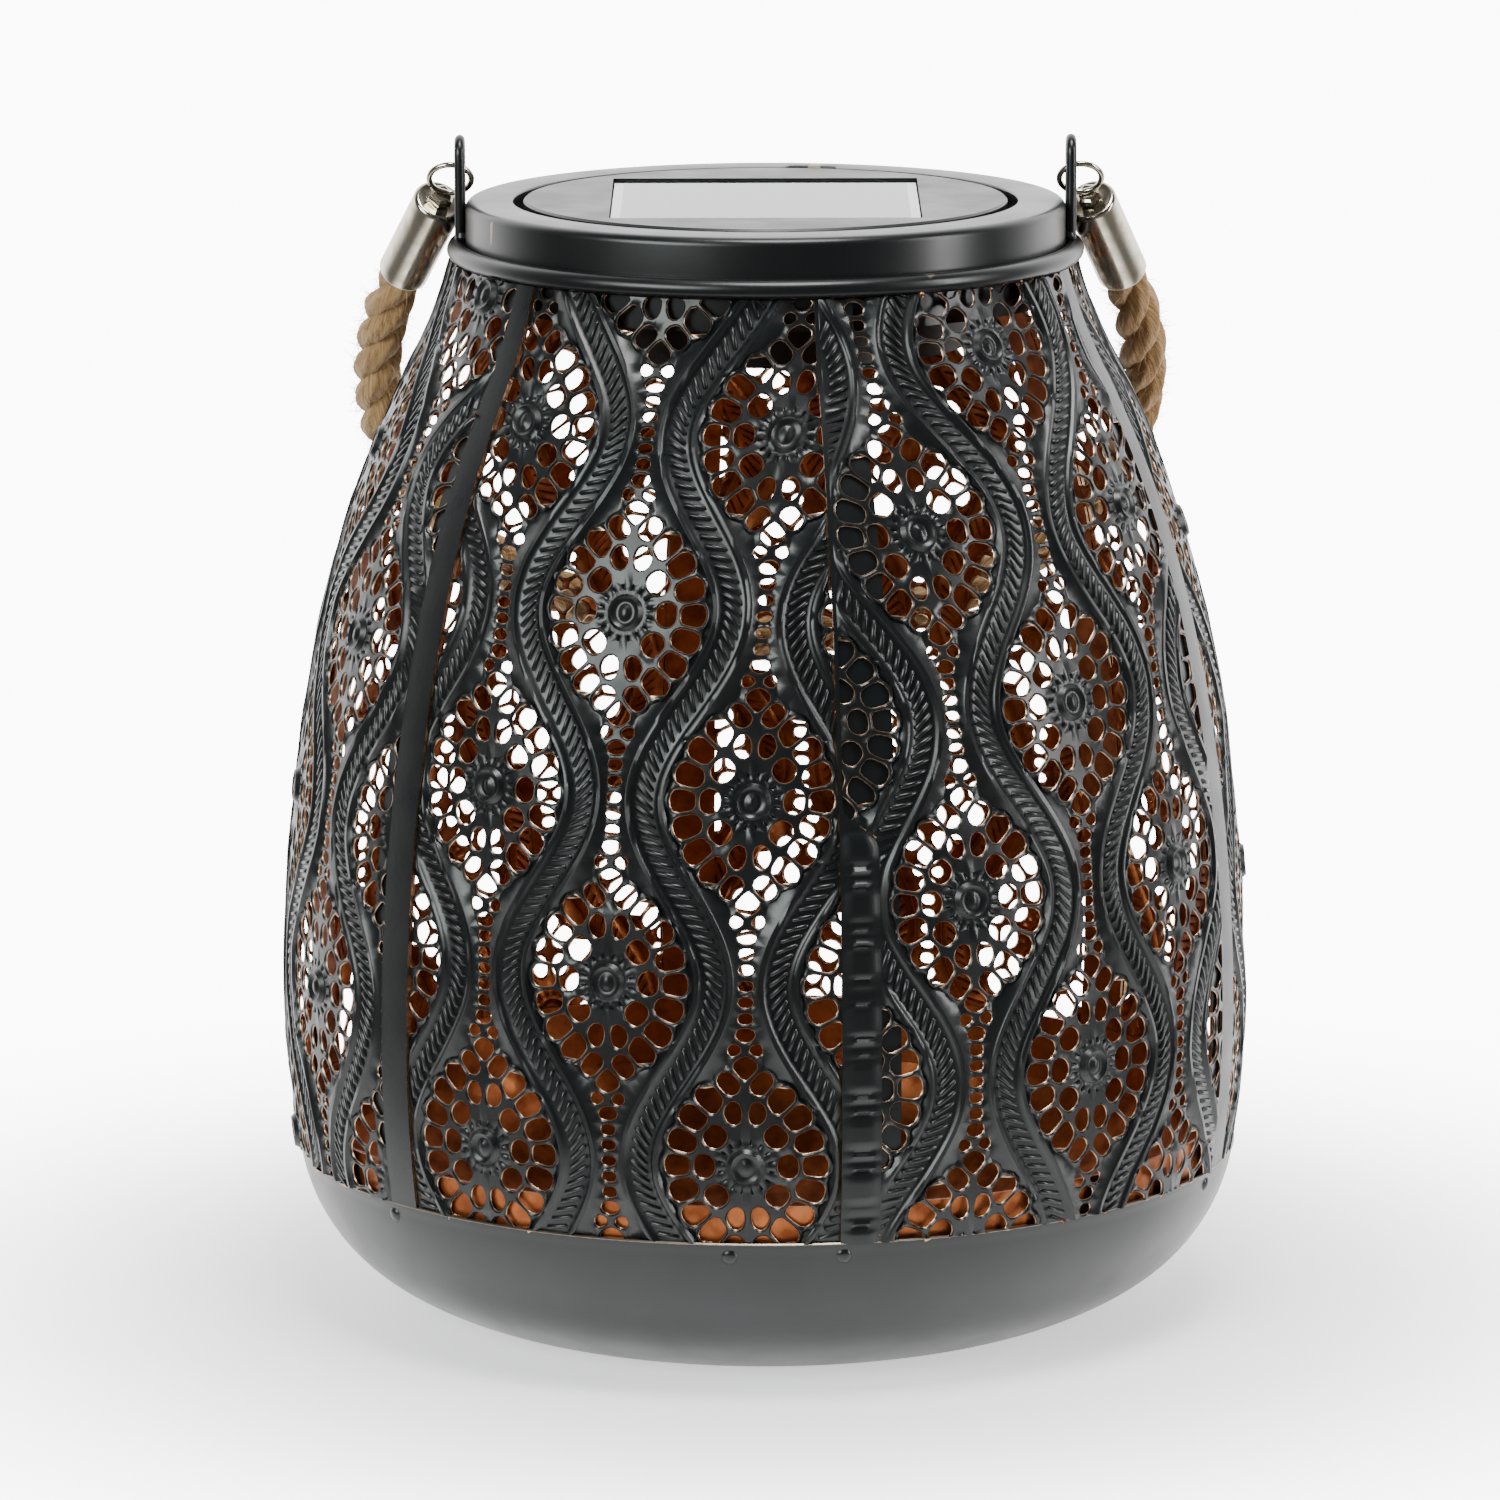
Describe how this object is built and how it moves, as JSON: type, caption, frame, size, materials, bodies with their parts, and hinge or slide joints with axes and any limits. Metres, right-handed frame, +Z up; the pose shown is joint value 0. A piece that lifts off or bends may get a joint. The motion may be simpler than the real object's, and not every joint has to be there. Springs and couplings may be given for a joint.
{
  "type": "perforated metal lantern",
  "caption": "Rounded perforated sheet-metal lantern with a bowl base, a lift-off solar lamp lid and a swinging rope handle on two wire ears.",
  "frame": {"origin": "middle of the base, on the floor", "axes": "+Z up through the lid, -Y to the front, the rope handle rests at the back (+Y), the ears lie on X"},
  "size_m": [0.1793, 0.1875, 0.219],
  "materials": {
    "dark_painted_iron": "near-black satin paint on perforated sheet iron, copper-coloured inside the shell",
    "nickel_plate": "polished nickel plate",
    "jute_rope": "three-strand twisted jute, matt",
    "black_plastic": "moulded black plastic",
    "seal_rubber": "flat rubber seal",
    "circuit_laminate": "green glass-fibre laminate",
    "silicon_cell": "dark blue silicon under resin",
    "clear_window": "clear cast resin sheet",
    "led_epoxy": "clear epoxy lamp body",
    "screw_steel": "zinc-plated steel",
    "battery_sleeve": "shrink sleeve on a steel can",
    "lead_copper": "tinned copper wire"
  },
  "bodies": {
    "lantern": {"base_bowl": "dark_painted_iron", "base_hoop": "dark_painted_iron", "shell_panel_1": "dark_painted_iron", "shell_panel_2": "dark_painted_iron", "shell_panel_3": "dark_painted_iron", "shell_panel_4": "dark_painted_iron", "shell_panel_5": "dark_painted_iron", "shell_panel_6": "dark_painted_iron", "collar": "dark_painted_iron", "ear_left": "dark_painted_iron", "ear_right": "dark_painted_iron"},
    "handle": {"eye_left": "nickel_plate", "eye_right": "nickel_plate", "ferrule_left": "nickel_plate", "ferrule_right": "nickel_plate", "rope_handle": "jute_rope"},
    "solar_lid": {"lid_plate": "black_plastic", "panel_board": "circuit_laminate", "solar_cell": "silicon_cell", "panel_window": "clear_window", "lid_gasket": "seal_rubber", "lamp_cup": "black_plastic", "battery_cover": "black_plastic", "cover_screw": "screw_steel", "lid_screws": "screw_steel", "battery": "battery_sleeve", "contact_plate": "screw_steel", "contact_leaf": "screw_steel", "circuit_board": "circuit_laminate", "panel_leads": "lead_copper", "led": "led_epoxy", "switch_body": "black_plastic"},
    "switch": {"switch_slider": "black_plastic"}
  },
  "joints": [
    {"name": "handle_swing", "type": "hinge", "parent": "lantern", "child": "handle", "pos_m": [0, 0, 0.2134], "axis": [1, 0, 0], "range_deg": [0, 276]},
    {"name": "lid_lift", "type": "slide", "parent": "lantern", "child": "solar_lid", "axis": [0, 0, 1], "range_m": [0, 0.06]},
    {"name": "switch_slide", "type": "slide", "parent": "solar_lid", "child": "switch", "axis": [1, 0, 0], "range_m": [0, 0.002]}
  ]
}
